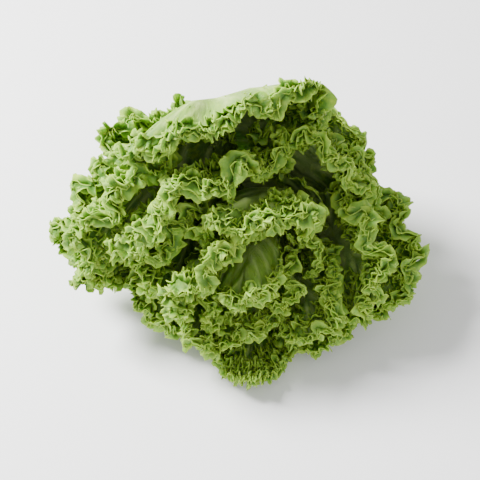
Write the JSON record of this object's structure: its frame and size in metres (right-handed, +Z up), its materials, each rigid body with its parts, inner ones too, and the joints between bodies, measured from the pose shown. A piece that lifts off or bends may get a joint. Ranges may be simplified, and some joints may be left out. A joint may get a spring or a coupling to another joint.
{
  "type": "head of green coral lettuce",
  "caption": "Loose-leaf lettuce head lying on its side, with a short cut stem and ruffled, curly-edged green leaves spreading from it.",
  "frame": {"origin": "middle of the head's bounding box, on the surface that it lies on", "axes": "+Z up, -Y the way the frilled crown faces, +X to the right as seen from the crown, along the head's greatest width"},
  "size_m": [0.2524, 0.184, 0.1785],
  "materials": {
    "leaf_green": "soft natural leaf surface, slightly waxy",
    "stem_pale": "matt, moist plant flesh"
  },
  "bodies": {
    "root": {"leaf_01": "leaf_green", "leaf_02": "leaf_green", "leaf_03": "leaf_green", "leaf_04": "leaf_green", "leaf_05": "leaf_green", "leaf_06": "leaf_green", "leaf_07": "leaf_green", "leaf_08": "leaf_green", "leaf_09": "leaf_green", "leaf_10": "leaf_green", "leaf_11": "leaf_green", "leaf_12": "leaf_green", "leaf_13": "leaf_green", "leaf_14": "leaf_green", "leaf_15": "leaf_green", "leaf_16": "leaf_green", "leaf_17": "leaf_green", "leaf_18": "leaf_green", "leaf_19": "leaf_green", "leaf_20": "leaf_green", "leaf_21": "leaf_green", "leaf_22": "leaf_green", "leaf_23": "leaf_green", "leaf_24": "leaf_green", "leaf_25": "leaf_green", "leaf_26": "leaf_green", "leaf_27": "leaf_green", "leaf_28": "leaf_green", "stem": "stem_pale"}
  },
  "joints": []
}
